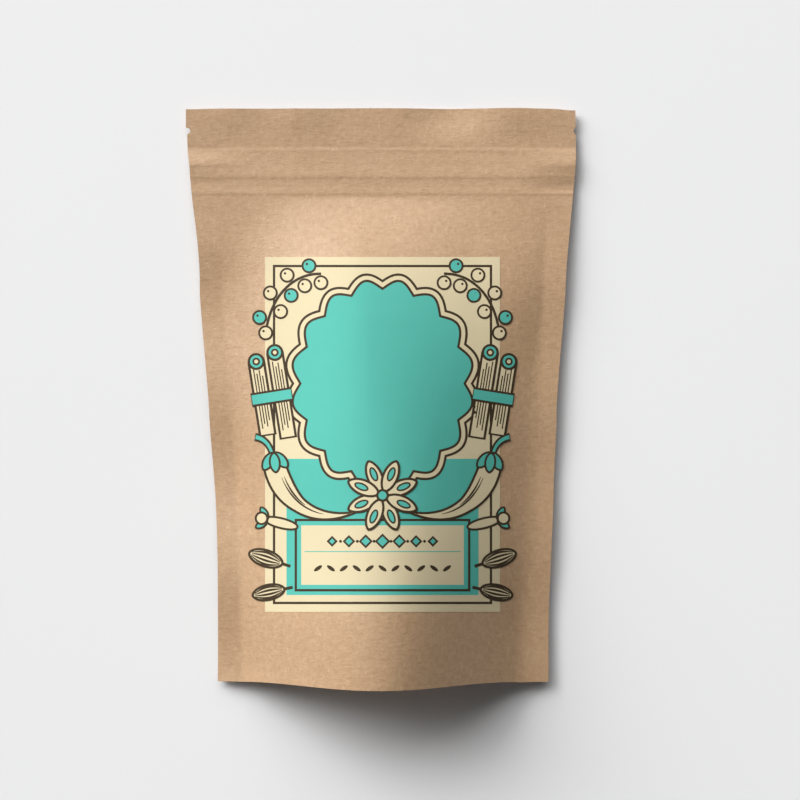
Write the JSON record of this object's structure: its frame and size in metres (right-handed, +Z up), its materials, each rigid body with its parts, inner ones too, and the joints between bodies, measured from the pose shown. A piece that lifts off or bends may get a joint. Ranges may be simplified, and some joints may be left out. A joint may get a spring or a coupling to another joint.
{
  "type": "spice pouch",
  "caption": "Filled stand-up pouch of kraft paper lying on its back, with press-to-close ridges, tear notches, flat side seals, a recessed base and a printed paper label.",
  "frame": {"origin": "under the middle of the pouch, on the surface that it lies on", "axes": "+X across the pouch to the right as the label is read, +Y from the foot towards the mouth, +Z up out of the printed front"},
  "size_m": [0.1296, 0.19, 0.0371],
  "materials": {
    "kraft_paper": "matt brown kraft paper with fine fibres and soft creases",
    "label_cream": "smooth matt cream label paper with dark brown line print",
    "label_teal": "matt teal print on the label paper"
  },
  "bodies": {
    "root": {"pouch_body": "kraft_paper", "label_sheet": "label_cream", "label_field": "label_teal", "label_panel": "label_teal"}
  },
  "joints": []
}
